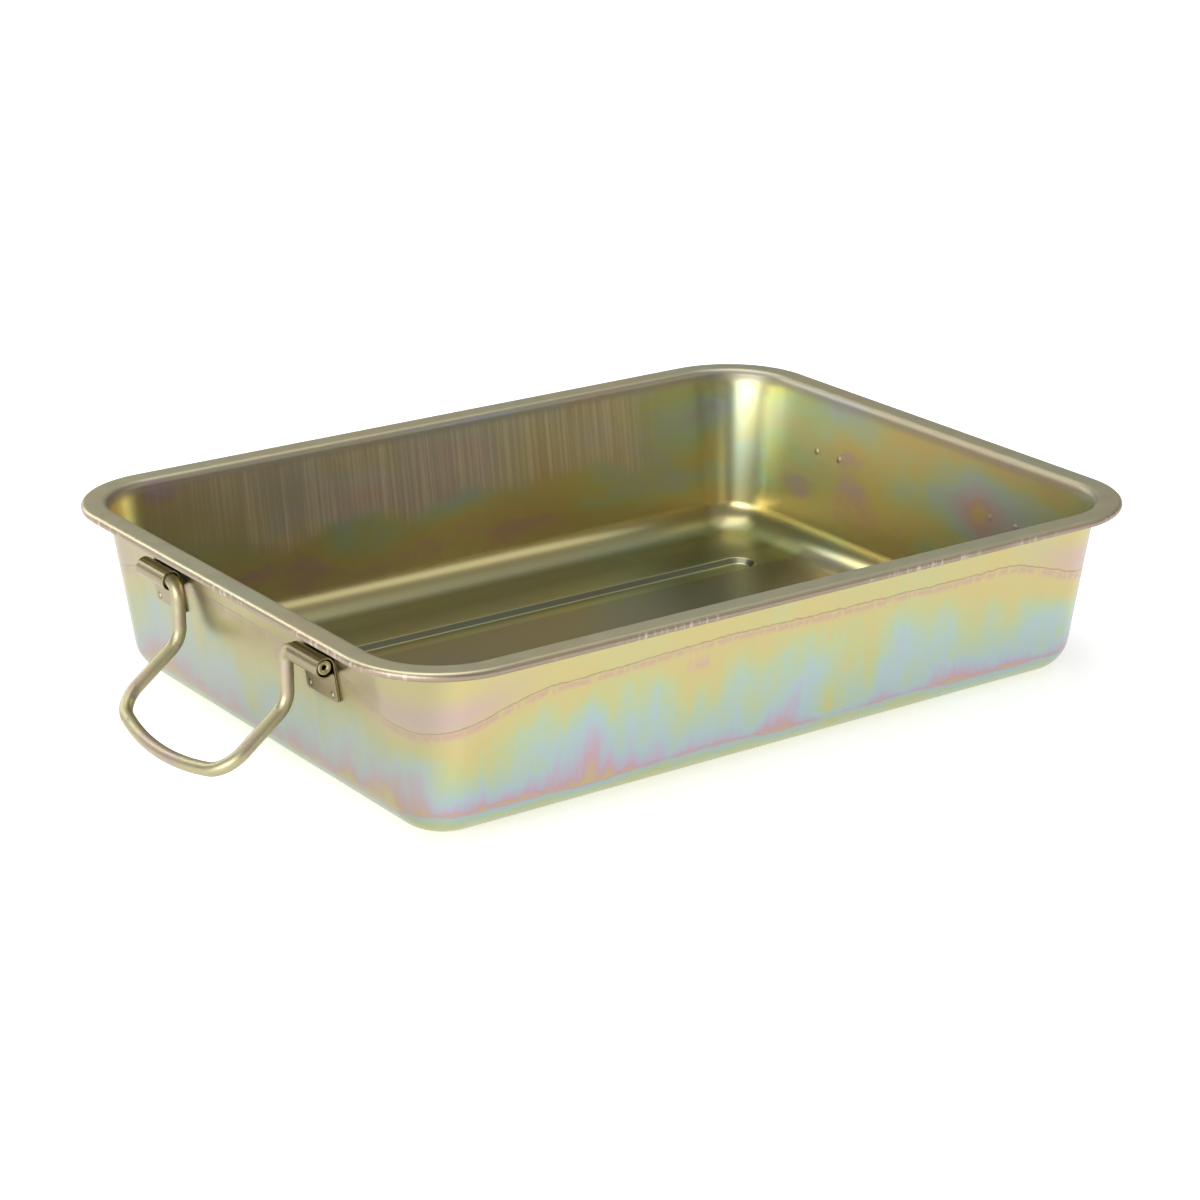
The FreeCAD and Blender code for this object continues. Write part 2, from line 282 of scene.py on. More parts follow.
def extruded(bm, edges, shift, steps=1):
    """Extrude a chain of edges along a straight, and return the chain at its far end."""
    for _ in range(steps):
        made = bmesh.ops.extrude_edge_only(bm, edges=edges)["geom"]
        verts = [g for g in made if isinstance(g, bmesh.types.BMVert)]
        bmesh.ops.translate(bm, verts=verts, vec=Vector(shift) / steps)
        edges = [g for g in made if isinstance(g, bmesh.types.BMEdge)]
    return edges


def spun(bm, edges, centre, axis, turn, steps):
    """Spin a chain of edges, and return the chain at its far end."""
    made = bmesh.ops.spin(bm, geom=edges, cent=centre, axis=axis, angle=turn, steps=steps)
    return [g for g in made["geom_last"] if isinstance(g, bmesh.types.BMEdge)]


def close_up(bm, gap=0.01 * MM):
    """Join the points that meet."""
    bmesh.ops.remove_doubles(bm, verts=bm.verts, dist=gap)


def on_circle(centre, radius, turned):
    """Point on a circle in the XZ plane, turned from +Z towards +X."""
    return Vector((centre.x + radius * math.sin(turned), 0, centre.z + radius * math.cos(turned)))


# ---------------------------------------------------------------- materials


SATIN = 0.285  # roughness that no metal here falls below
OUTSIDE_ROUGHNESS = 0.30
INSIDE_ROUGHNESS = 0.27
RIM_ROUGHNESS = 0.45
STRAP_ROUGHNESS = 0.33
TUBE_ROUGHNESS = 0.46

# thickness of the film down the walls, by the share of the tray's height below the flange
OUTSIDE_BANDS = (
    (0.0, 0.97), (0.20, 1.0), (0.27, 1.03), (0.34, 0.93), (0.42, 0.78), (0.55, 0.68), (0.68, 0.60),
    (0.76, 0.50), (0.81, 0.38), (0.828, 0.24), (0.845, 0.55), (0.87, 0.7), (1.0, 0.88),
)
INSIDE_BANDS = ((0.0, 0.85), (0.2, 0.7), (0.4, 0.82), (0.55, 1.05), (0.8, 1.0), (1.0, 0.85))


class Finish:
    """A metal finish, with short calls for its nodes."""

    def __init__(self, name):
        self.material = bpy.data.materials.new(name)
        self.material.use_nodes = True
        self.tree = self.material.node_tree
        self.shader = self.tree.nodes["Principled BSDF"]
        self.shader.inputs["Metallic"].default_value = 1.0
        self.place = self.node("ShaderNodeTexCoord").outputs["Object"]
        parts = self.node("ShaderNodeSeparateXYZ", {"Vector": self.place}).outputs
        self.x, self.y, self.z = parts[0], parts[1], parts[2]

    def feed(self, socket, value):
        if isinstance(value, bpy.types.NodeSocket):
            self.tree.links.new(value, socket)
        else:
            socket.default_value = value

    def node(self, kind, inputs=None, **settings):
        made = self.tree.nodes.new(kind)
        for name, value in settings.items():
            setattr(made, name, value)
        for key, value in (inputs or {}).items():
            self.feed(made.inputs[key], value)
        return made

    def maths(self, operation, *values, clamp=False):
        inputs = dict(enumerate(values))
        return self.node("ShaderNodeMath", inputs, operation=operation, use_clamp=clamp).outputs[0]

    def band(self, value, low, high, start=0.0, end=1.0):
        """Smooth step from start to end while the value goes from low to high."""
        inputs = {0: value, 1: low, 2: high, 3: start, 4: end}
        return self.node("ShaderNodeMapRange", inputs, interpolation_type="SMOOTHSTEP").outputs[0]

    def line(self, value, centre, half):
        """One on the value's centre, fading to nothing at half a width to either side."""
        away = self.maths("ABSOLUTE", self.maths("SUBTRACT", value, centre))
        return self.band(away, 0.0, half, 1.0, 0.0)

    def cloud(self, scale, detail=2.0, stretch=(1, 1, 1), shift=0.0, distortion=0.0, swing=1.0):
        """Noise about nought, going about half the swing to either side."""
        where = self.node(
            "ShaderNodeMapping", {"Vector": self.place, "Scale": stretch, "Location": (shift,) * 3}
        ).outputs[0]
        inputs = {"Vector": where, "Scale": scale, "Detail": detail, "Distortion": distortion}
        fac = self.node("ShaderNodeTexNoise", inputs).outputs["Fac"]
        return self.maths("MULTIPLY", self.maths("SUBTRACT", fac, 0.5), swing)

    def total(self, *values):
        result = values[0]
        for value in values[1:]:
            result = self.maths("ADD", result, value)
        return result

    def ramp(self, value, stops):
        node = self.node("ShaderNodeValToRGB", {0: value})
        elements = node.color_ramp.elements
        while len(elements) < len(stops):
            elements.new(0.5)
        for element, (position, colour) in zip(elements, stops):
            element.position = position
            element.color = (*colour, 1) if hasattr(colour, "__len__") else (colour,) * 3 + (1,)
        return node.outputs[0]

    def mix(self, factor, a, b, blend="MIX"):
        node = self.node("ShaderNodeMix", data_type="RGBA", blend_type=blend)
        self.feed(node.inputs[0], factor)
        self.feed(node.inputs[6], a if isinstance(a, bpy.types.NodeSocket) else (*a, 1))
        self.feed(node.inputs[7], b if isinstance(b, bpy.types.NodeSocket) else (*b, 1))
        return node.outputs[2]

    def film(self, thickness):
        """Colour of the passivate, which runs through the same round of tints as it thickens."""
        c = bpy.context.scene.tray_colours
        turn = self.maths("FRACT", thickness)
        tints = (
            (0.0, c.straw), (0.13, c.straw), (0.22, c.apricot), (0.31, c.pink), (0.42, c.lilac),
            (0.55, c.cyan), (0.69, c.green), (0.84, c.lime), (1.0, c.straw),
        )
        return self.ramp(turn, [(position, tuple(colour)) for position, colour in tints])

    def bump(self, height, distance, strength=1.0, under=None):
        inputs = {"Height": height, "Distance": distance, "Strength": strength}
        if under is not None:
            inputs["Normal"] = under
        return self.node("ShaderNodeBump", inputs).outputs[0]

    def done(self, colour, roughness, normal=None):
        self.feed(self.shader.inputs["Base Color"], colour)
        self.feed(self.shader.inputs["Roughness"], self.maths("MAXIMUM", roughness, SATIN))
        if normal is not None:
            self.feed(self.shader.inputs["Normal"], normal)
        return self.material


def depth_below_rim(f):
    """Share of the tray's height, measured down from the flange."""
    pan = bpy.context.scene.tray_pan_shape
    return f.maths("DIVIDE", f.maths("SUBTRACT", pan.rim_height, f.z), pan.rim_height)


def corner_share(f):
    """One in the tray's four corners and nothing along its sides."""
    pan = bpy.context.scene.tray_pan_shape
    near = []
    for along, size in ((f.x, pan.rim_length), (f.y, pan.rim_width)):
        centre = size / 2 - pan.corner_radius
        near.append(f.band(f.maths("ABSOLUTE", along), centre - 50 * MM, centre + 30 * MM))
    return f.maths("MULTIPLY", *near)


def outside_finish():
    """Outer walls: straw under the rim, a wandering draw line, then pastel bands down to the base."""
    f = Finish("Passivated steel, outside")
    colours = bpy.context.scene.tray_colours
    end_x = bpy.context.scene.tray_pan_shape.rim_length / 2
    depth = depth_below_rim(f)
    dip = f.maths("MULTIPLY", corner_share(f), f.band(depth, 0.4, 0.75, 0.165, 0.0))
    wander = f.total(f.cloud(9, 1.0, swing=0.07), f.cloud(170, 2.0, swing=0.022))
    level = f.maths("SUBTRACT", f.maths("SUBTRACT", depth, dip), wander)
    bands = f.ramp(level, OUTSIDE_BANDS)
    low_wall = f.maths("MULTIPLY", f.band(level, 0.22, 0.36), f.band(level, 0.92, 0.76))
    patches = f.maths("MULTIPLY", f.cloud(13, 3.0, shift=3.1, swing=1.25), low_wall)
    runs = f.maths("MULTIPLY", f.cloud(60, 4.0, (1, 1, 0.2), shift=7.7, swing=0.65), low_wall)
    straw_zone = f.cloud(26, 5.0, (1, 1, 0.5), shift=1.4, swing=0.5)
    grain = f.cloud(210, 3.0, (1, 1, 0.08), swing=0.26)
    colour = f.film(f.total(bands, patches, runs, straw_zone, grain, 1.0))
    blush = f.maths("MULTIPLY", corner_share(f), f.line(level, 0.15, 0.16))
    colour = f.mix(f.maths("MULTIPLY", blush, 0.75), colour, colours.pink)
    crest = f.line(level, 0.215, 0.0065)
    dashes = f.band(f.cloud(330, 2.0, (1, 1, 0.4), shift=2.2), -0.2, 0.04)
    hem = f.maths("MULTIPLY", f.line(level, 0.240, 0.034), dashes)
    colour = f.mix(f.maths("MULTIPLY", hem, 0.85), colour, colours.hem)
    colour = f.mix(f.maths("MULTIPLY", crest, 0.6), colour, colours.draw_line)
    # painted shade: the outer end walls are darkened because they stand in less light than the long
    # walls
    end = f.band(f.maths("ABSOLUTE", f.x), end_x - 47.5 * MM, end_x - 27.5 * MM)
    colour = f.mix(f.maths("MULTIPLY", end, 0.5), colour, colours.painted_end_wall_shade)
    normal = f.bump(crest, 0.08 * MM, 0.6)
    draw = f.cloud(230, 2.0, (1, 1, 0.04), swing=0.14)
    roughness = f.total(OUTSIDE_ROUGHNESS, f.cloud(60, 3.0, swing=0.12), draw)
    return f.done(colour, roughness, normal)


def inside_finish():
    """Inner walls and floor: thicker film, darkened all over by painted shade, with galled draw marks
    under the flange.
    """
    f = Finish("Passivated steel, inside")
    colours = bpy.context.scene.tray_colours
    pan = bpy.context.scene.tray_pan_shape
    depth = depth_below_rim(f)
    wander = f.cloud(10, 2.0, shift=5.0, swing=0.3)
    level = f.total(depth, wander)
    patches = f.cloud(15, 5.0, (0.6, 0.6, 1.2), shift=9.0, swing=2.5)
    patches = f.maths("MULTIPLY", patches, f.band(depth, 0.62, 0.85, 1.0, 0.25))
    runs = f.cloud(40, 4.0, (1, 1, 0.25), shift=4.2, swing=0.35)
    bands = f.ramp(level, INSIDE_BANDS)
    colour = f.film(f.total(bands, patches, runs, 1.0))
    floor = f.band(f.z, 12 * MM, 6 * MM)
    floor_z = pan.bead_depth + pan.sheet
    bead_near = (pan.bead_pitch - pan.bead_width) / 2
    bead_far = (pan.bead_pitch + pan.bead_width) / 2
    across = f.maths("ABSOLUTE", f.y)
    middle = f.maths("MULTIPLY", floor, f.band(across, bead_near + 5 * MM, bead_near - 3 * MM))
    colour = f.mix(f.maths("MULTIPLY", middle, 0.6), colour, colours.floor_middle)
    edge = f.maths("MULTIPLY", floor, f.band(across, bead_far - 4 * MM, bead_far + 6 * MM))
    colour = f.mix(f.maths("MULTIPLY", edge, 0.5), colour, colours.floor_edge)
    # painted shade: the sloping sides of the beads are darkened as if they lay in shade
    above_bead = f.band(f.z, pan.sheet + 0.2 * MM, pan.sheet + 0.8 * MM)
    below_floor = f.band(f.z, floor_z - 0.1 * MM, floor_z - 0.5 * MM)
    painted_groove_shade = f.maths("MULTIPLY", above_bead, below_floor)
    colour = f.mix(f.maths("MULTIPLY", painted_groove_shade, 0.75), colour, colours.painted_groove_shade)
    # painted shade: the whole inside is darkened and muted a little because its walls shade each
    # other
    colour = f.mix(0.15, colour, colours.inner)
    # galled stripes run down the long walls from the neck, where the sheet slid over the die
    ragged = f.total(f.maths("ABSOLUTE", f.x), f.cloud(9, 2.0, shift=3.3, swing=0.2))
    along = f.band(ragged, 190 * MM, 130 * MM)
    reach = f.total(depth, f.cloud(16, 3.0, (1, 1, 0.1), shift=12.0, swing=0.5))
    galled = f.maths("MULTIPLY", f.band(reach, 0.54, 0.42), f.band(depth, 0.03, 0.07))
    galled = f.maths("MULTIPLY", galled, along)
    stripes = f.cloud(480, 3.0, (1, 0.05, 0.012), swing=1.6)
    scored = f.maths("MULTIPLY", f.band(stripes, -0.2, 0.4), galled)
    colour = f.mix(f.maths("MULTIPLY", galled, 0.6), colour, colours.galled)
    colour = f.mix(f.maths("MULTIPLY", scored, 0.6), colour, colours.scored)
    neck = f.band(f.z, pan.rim_height - 10 * MM, pan.rim_height - 4 * MM)
    colour = f.mix(f.maths("MULTIPLY", neck, 0.6), colour, colours.neck)
    marks = weld_marks(f)
    colour = f.mix(f.maths("MULTIPLY", marks, 0.6), colour, colours.weld_back)
    normal = f.bump(marks, 0.3 * MM, 0.6)
    dull = f.maths("MULTIPLY", f.maths("MAXIMUM", neck, f.maths("MULTIPLY", galled, 0.4)), 0.22)
    roughness = f.total(INSIDE_ROUGHNESS, f.cloud(40, 3.0, swing=0.12), dull)
    return f.done(colour, roughness, normal)


def weld_distance(f):
    """Distance from the nearest spot weld, measured in the plane of the end wall."""
    pan = bpy.context.scene.tray_pan_shape
    straps = bpy.context.scene.tray_strap_shape
    height = pan.rim_height - straps.drop - straps.leaf + straps.weld_edge
    middle = (STRAP_LOW.y + STRAP_HIGH.y) / 2
    up = f.maths("SUBTRACT", f.z, height)
    across = f.maths("ABSOLUTE", f.maths("SUBTRACT", f.maths("ABSOLUTE", f.y), middle))
    across = f.maths("SUBTRACT", across, straps.weld_pitch / 2)
    return f.maths("SQRT", f.total(f.maths("MULTIPLY", across, across), f.maths("MULTIPLY", up, up)))


def weld_marks(f):
    """Spots on the inner face of the end walls, behind the straps' spot welds."""
    end_x = bpy.context.scene.tray_pan_shape.rim_length / 2
    spot = f.band(weld_distance(f), 0.8 * MM, 2.4 * MM, 1.0, 0.0)
    end = f.band(f.maths("ABSOLUTE", f.x), end_x - 42.5 * MM, end_x - 37.5 * MM)
    return f.maths("MULTIPLY", spot, end)


def rim_finish():
    """Flange and rolled edge: rubbed tan film, the roll browner and nicked by the curling tool."""
    f = Finish("Passivated steel, rim")
    colours = bpy.context.scene.tray_colours
    pan = bpy.context.scene.tray_pan_shape
    patches = f.cloud(9, 3.0, shift=2.0, swing=0.9)
    colour = f.film(f.total(0.9, patches, f.cloud(60, 3.0, swing=0.2), 1.0))
    colour = f.mix(0.5, colour, colours.flange)
    roll = f.band(f.z, pan.rim_height - 0.3 * MM, pan.rim_height - 1.6 * MM)
    colour = f.mix(f.maths("MULTIPLY", roll, 0.85), colour, colours.roll)
    ticks = f.band(f.cloud(420, 2.0, (1, 1, 0.1), swing=1.0), 0.0, 0.2)
    patchy = f.band(f.cloud(12, 2.0, shift=6.0), -0.06, 0.08)
    nicks = f.maths("MULTIPLY", f.maths("MULTIPLY", ticks, patchy), roll)
    colour = f.mix(f.maths("MULTIPLY", nicks, 0.7), colour, colours.nick)
    normal = f.bump(nicks, 0.12 * MM, 0.6)
    roughness = f.total(RIM_ROUGHNESS, f.cloud(90, 3.0, swing=0.16), f.maths("MULTIPLY", nicks, 0.1))
    return f.done(colour, roughness, normal)


def strap_finish():
    """Straps: drab, satin film over cold-rolled strip."""
    f = Finish("Passivated strap")
    colours = bpy.context.scene.tray_colours
    weld_radius = bpy.context.scene.tray_strap_shape.weld_radius
    clouds = f.cloud(50, 3.0, distortion=0.6, swing=0.42)
    colour = f.film(f.total(0.02, clouds, f.cloud(240, 2.0, swing=0.12), 1.0))
    colour = f.mix(0.7, colour, colours.strap)
    away = weld_distance(f)
    # painted light at each spot weld: a ring of painted shade over the dish and a painted highlight
    # on the knob, whose mask also gives the bump
    knob = f.band(away, 0.7 * MM, 1.3 * MM, 1.0, 0.0)
    ring = f.line(away, weld_radius, 0.9 * MM)
    colour = f.mix(f.maths("MULTIPLY", ring, 0.75), colour, colours.weld_ring_painted_shade)
    colour = f.mix(f.maths("MULTIPLY", knob, 0.8), colour, colours.weld_knob_painted_highlight)
    normal = f.bump(knob, 0.4 * MM, 0.7)
    roughness = f.total(STRAP_ROUGHNESS, f.cloud(160, 3.0, swing=0.16))
    return f.done(colour, roughness, normal)


def tube_finish():
    """Handles: champagne film with pink and green flashes, rubbed here and there."""
    f = Finish("Passivated tube")
    colours = bpy.context.scene.tray_colours
    clouds = f.cloud(38, 3.0, distortion=0.8, swing=0.8)
    colour = f.film(f.total(0.12, clouds, f.cloud(260, 3.0, swing=0.16), 1.0))
    colour = f.mix(0.5, colour, colours.tube)
    rubs = f.band(f.cloud(210, 4.0, shift=3.0), 0.11, 0.19)
    colour = f.mix(f.maths("MULTIPLY", rubs, 0.6), colour, colours.rubbed)
    normal = f.bump(rubs, 0.03 * MM, 0.5)
    worn = f.maths("MULTIPLY", rubs, 0.12)
    roughness = f.total(TUBE_ROUGHNESS, f.cloud(130, 3.0, swing=0.14), worn)
    return f.done(colour, roughness, normal)


# ---------------------------------------------------------------- tray


def wall_face(pan, z):
    """Distance from the tray's middle to the outer face of an end wall at height z."""
    inner = pan.neck_radius - pan.sheet
    neck_x = pan.rim_length / 2 - pan.roll_radius - pan.flange
    top = pan.rim_height - pan.neck_radius + inner * math.sin(pan.draft)
    return neck_x - inner * math.cos(pan.draft) - (top - z) * math.tan(pan.draft)


def pan_section(bm, pan):
    """Upper face of the +X end's section: base bend, wall, neck, flange and roll."""
    roll = Vector((pan.rim_length / 2 - pan.roll_radius, 0, pan.rim_height - pan.roll_radius))
    neck = Vector((roll.x - pan.flange, 0, pan.rim_height - pan.neck_radius))
    base_z = pan.bead_depth + pan.base_radius
    base = Vector((wall_face(pan, base_z) - pan.base_radius / math.cos(pan.draft), 0, base_z))
    inner = pan.base_radius - pan.sheet
    lean = pan.draft
    down, outward = math.pi, math.pi / 2
    wall_foot = on_circle(base, inner, outward + lean)
    wall_head = on_circle(neck, pan.neck_radius, -outward + lean)
    neck_top = on_circle(neck, pan.neck_radius, 0)
    wall_rows = 10
    wall = [("line", wall_foot.lerp(wall_head, i / wall_rows)) for i in range(1, wall_rows + 1)]
    edges = draw_section(
        bm,
        on_circle(base, inner, down),
        [("arc", base, lean - outward, 14)]
        + wall
        + [("arc", neck, outward - lean, 8)]
        + [("line", neck_top.lerp(Vector((roll.x, 0, neck_top.z)), i / 3)) for i in (1, 2, 3)]
        + [("arc", roll, pan.roll_turn, 24)],
    )
    return edges, on_circle(base, inner, down).x


def bead_quarter(bm, pan):
    """Rear bead's half on the +X side, from its upper crease down to its flat underside."""
    slope = pan.bead_slope
    tight, wide = pan.bead_crease, pan.bead_crease + pan.sheet
    run = (tight + wide) * math.sin(slope)
    rise = (tight + wide) * (1 - math.cos(slope))
    ramp = (pan.bead_depth - rise) / math.tan(slope)
    middle = pan.bead_pitch / 2
    straight = (pan.bead_length - pan.bead_width) / 2
    upper = Vector((pan.bead_width / 2, 0, pan.bead_depth + pan.sheet - wide))
    lower = Vector((upper.x - run - ramp, 0, pan.sheet + tight))
    section = bmesh.new()
    draw_section(
        section,
        on_circle(upper, wide, 0),
        [
            ("arc", upper, -slope, 5),
            ("line", on_circle(lower, tight, math.pi - slope)),
            ("arc", lower, slope, 5),
            ("line", Vector((0, 0, pan.sheet))),
        ],
    )
    # the section is drawn outwards along X; here it reaches forwards from the bead's middle
    place = Matrix.Translation((straight, middle, 0)) @ Matrix.Rotation(-math.pi / 2, 4, "Z")
    bmesh.ops.transform(section, matrix=place, verts=section.verts)
    old = set(bm.edges)
    held = bpy.data.meshes.new("bead section")
    section.to_mesh(held)
    section.free()
    bm.from_mesh(held)
    bpy.data.meshes.remove(held)
    edges = [e for e in bm.edges if e not in old]
    extruded(bm, edges, (-straight, 0, 0))
    last = spun(bm, edges, (straight, middle, 0), (0, 0, 1), math.pi, 28)
    extruded(bm, last, (-straight, 0, 0))


def fill_floor(bm, pan, floor_x):
    """Flat of the floor on one quarter, round the bead."""
    top = pan.bead_depth + pan.sheet
    origin = bm.verts.new((0, 0, top))
    close_up(bm)
    rim = [v for v in bm.verts if v is not origin and abs(v.co.z - top) < CLOSE and v.is_boundary]

    def nearest(*at):
        """The boundary point nearest a place."""
        return min(rim, key=lambda v: (v.co - Vector(at)).length)

    middle, half = pan.bead_pitch / 2, pan.bead_width / 2
    bridges = (
        (origin, nearest(floor_x, 0, top)),
        (origin, nearest(0, middle - half, top)),
        (nearest(0, middle + half, top), nearest(0, pan.rim_width / 2, top)),
    )
    flat = set()
    for a, b in bridges:
        flat.add(bm.edges.new((a, b)))
    for edge in bm.edges:
        level = all(abs(v.co.z - top) < CLOSE for v in edge.verts)
        inside = all(v.co.x < floor_x + MM and v.co.z < top + CLOSE for v in edge.verts)
        if level and inside and len(edge.link_faces) == 1:
            flat.add(edge)
    bmesh.ops.triangle_fill(bm, edges=list(flat), use_beauty=True, normal=(0, 0, 1))


def wander_walls(bm, pan):
    """Let the drawn walls wander slightly inwards between the base bend and the neck."""
    low = pan.bead_depth + pan.base_radius
    high = pan.rim_height - 3 * pan.neck_radius
    for vert in bm.verts:
        share = (vert.co.z - low) / (high - low)
        if not 0 < share < 1:
            continue
        ripple = 0.5 + 0.5 * noise.noise(vert.co * 14)
        inward = Vector((vert.co.x, vert.co.y, 0)).normalized()
        vert.co -= inward * pan.waviness * ripple * math.sin(math.pi * share)


def press_pan():
    """The tray's pressing, as one sheet with a wall."""
    pan = bpy.context.scene.tray_pan_shape
    corner = Vector((pan.rim_length / 2, pan.rim_width / 2, 0))
    corner -= Vector((pan.corner_radius, pan.corner_radius, 0))
    bm = bmesh.new()
    section, floor_x = pan_section(bm, pan)
    chain = extruded(bm, section, (0, corner.y, 0), 8)
    chain = spun(bm, chain, corner, (0, 0, 1), math.pi / 2, pan.corner_steps)
    extruded(bm, chain, (-corner.x, 0, 0), 12)
    bead_quarter(bm, pan)
    fill_floor(bm, pan, floor_x)
    wander_walls(bm, pan)
    for axis in ("X", "Y"):
        geom = bm.verts[:] + bm.edges[:] + bm.faces[:]
        bmesh.ops.mirror(bm, geom=geom, axis=axis, merge_dist=CLOSE)
    close_up(bm)
    bmesh.ops.recalc_face_normals(bm, faces=bm.faces)
    floor = max(bm.faces, key=lambda face: face.calc_area())
    if floor.normal.z < 0:
        bmesh.ops.reverse_faces(bm, faces=bm.faces)
    neck_z = pan.rim_height - pan.neck_radius * 0.3
    for face in bm.faces:
        if face.calc_center_median().z > neck_z or on_rim(face, pan, corner):
            face.material_index = RIM
    outside = outside_finish()
    finishes = (inside_finish(), outside, rim_finish(), outside)
    piece = finished("tray_pressing", bm, "tray", finishes)
    give_wall(piece, pan.sheet, OUTSIDE - INSIDE)
    soften(piece, 0)
    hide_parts("tray_pan")


def on_rim(face, pan, corner):
    """Whether a face lies on the roll, out past the flange."""
    centre = face.calc_center_median()
    if centre.z < pan.rim_height - 3 * pan.roll_radius:
        return False
    x = max(abs(centre.x) - corner.x, 0)
    y = max(abs(centre.y) - corner.y, 0)
    return math.hypot(x, y) > pan.corner_radius - 2.2 * pan.roll_radius


# ---------------------------------------------------------------- straps


def strap_place(pan, strap):
    """Loop centre on the +X end, where the loop's outside touches the leaning wall."""
    z = pan.rim_height - strap.drop
    reach = strap.loop_radius + strap.sheet
    return Vector((wall_face(pan, z) + reach / math.cos(pan.draft), 0, z))


def folded_strap(pan, strap):
    """One strap for the +X end, centred on Y = 0."""
    outer = strap.loop_radius + strap.sheet
    front_x = -strap.loop_radius + strap.leaf_gap + strap.sheet
    fold_x = front_x + strap.fold_radius
    fold_z = -math.sqrt((outer + strap.fold_radius) ** 2 - fold_x**2)
    # angle of the line from the loop's centre to the fold's, turned from +Z towards +X
    toward = math.atan2(fold_x, fold_z) % (2 * math.pi)
    rows = 40
    back = Vector((-outer, 0, 0))
    front_top = Vector((front_x, 0, fold_z))
    front_foot = Vector((front_x, 0, -strap.leaf))
    bm = bmesh.new()
    half = strap.width / 2
    edges = draw_section(
        bm,
        Vector((-outer, 0, -strap.leaf)),
        [("line", Vector((-outer, 0, -strap.leaf + strap.corner * i / 5))) for i in range(1, 6)]
        + [("line", back)]
        + [("arc", Vector((0, 0, 0)), toward + math.pi / 2, 40)]
        + [("arc", Vector((fold_x, 0, fold_z)), -(toward - math.pi / 2), 10)]
        + [("line", front_top.lerp(front_foot, i / rows)) for i in range(1, rows + 1)],
    )
    for vert in bm.verts:
        vert.co.y = -half
    extruded(bm, edges, (0, strap.width, 0), 64)
    for vert in bm.verts:
        rise = vert.co.z + strap.leaf
        if rise < strap.corner:
            cut = strap.corner - math.sqrt(max(strap.corner**2 - (strap.corner - rise) ** 2, 0))
            vert.co.y *= (half - cut) / half
    dent_welds(bm, strap, front_x)
    bmesh.ops.recalc_face_normals(bm, faces=bm.faces)
    crown = max(bm.faces, key=lambda face: face.calc_center_median().z)
    if crown.normal.z < 0:
        bmesh.ops.reverse_faces(bm, faces=bm.faces)
    place = Matrix.Translation(strap_place(pan, strap)) @ Matrix.Rotation(pan.draft, 4, "Y")
    bmesh.ops.transform(bm, matrix=place, verts=bm.verts)
    return bm


def dent_welds(bm, strap, front_x):
    """Push the two spot welds into the front leaf, each with a low nugget in its middle."""
    for vert in bm.verts:
        if abs(vert.co.x - front_x) > CLOSE or vert.co.z > -strap.loop_radius:
            continue
        up = vert.co.z + strap.leaf - strap.weld_edge
        away = min(math.hypot(up, vert.co.y - side * strap.weld_pitch / 2) for side in (-1, 1))
        share = away / strap.weld_radius
        if share < 1:
            dish = (1 - share**2) ** 2
            nugget = math.exp(-((share * 3) ** 2))
            vert.co.x -= strap.weld_depth * (dish - 0.8 * nugget)


def fold_straps():
    """All four straps."""
    pan = bpy.context.scene.tray_pan_shape
    strap = bpy.context.scene.tray_strap_shape
    finish = strap_finish()
    middle = (STRAP_LOW.y + STRAP_HIGH.y) / 2
    for end, sign in ENDS:
        for side in (-1, 1):
            bm = folded_strap(pan, strap)
            turn = Matrix.Rotation(0 if sign > 0 else math.pi, 4, "Z")
            place = turn @ Matrix.Translation((0, side * middle, 0))
            bmesh.ops.transform(bm, matrix=place, verts=bm.verts)
            where = "rear" if side * sign > 0 else "front"
            piece = finished(f"{end}_{where}_strap", bm, "tray", [finish])
            give_wall(piece, strap.sheet)
            soften(piece, 0.12 * MM)
            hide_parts(f"{end}_{where}_bracket")


# ---------------------------------------------------------------- handles


def grip_numbers(handle):
    """Angle and depth of the bowed grip's half, between its corner arcs."""
    half = handle.spacing / 2 - handle.corner
    bow = math.asin(half / (handle.bow - handle.corner))
    depth = handle.bow - (handle.bow - handle.corner) * math.cos(bow)
    return bow, depth


# the tube's cut end is rolled inwards: share of its radius, and mm in from the end
TUBE_LIP = ((0.30, 1.3), (0.40, 0.55), (0.62, 0.08), (0.80, 0.0), (0.95, 0.12), (1.0, 0.45))


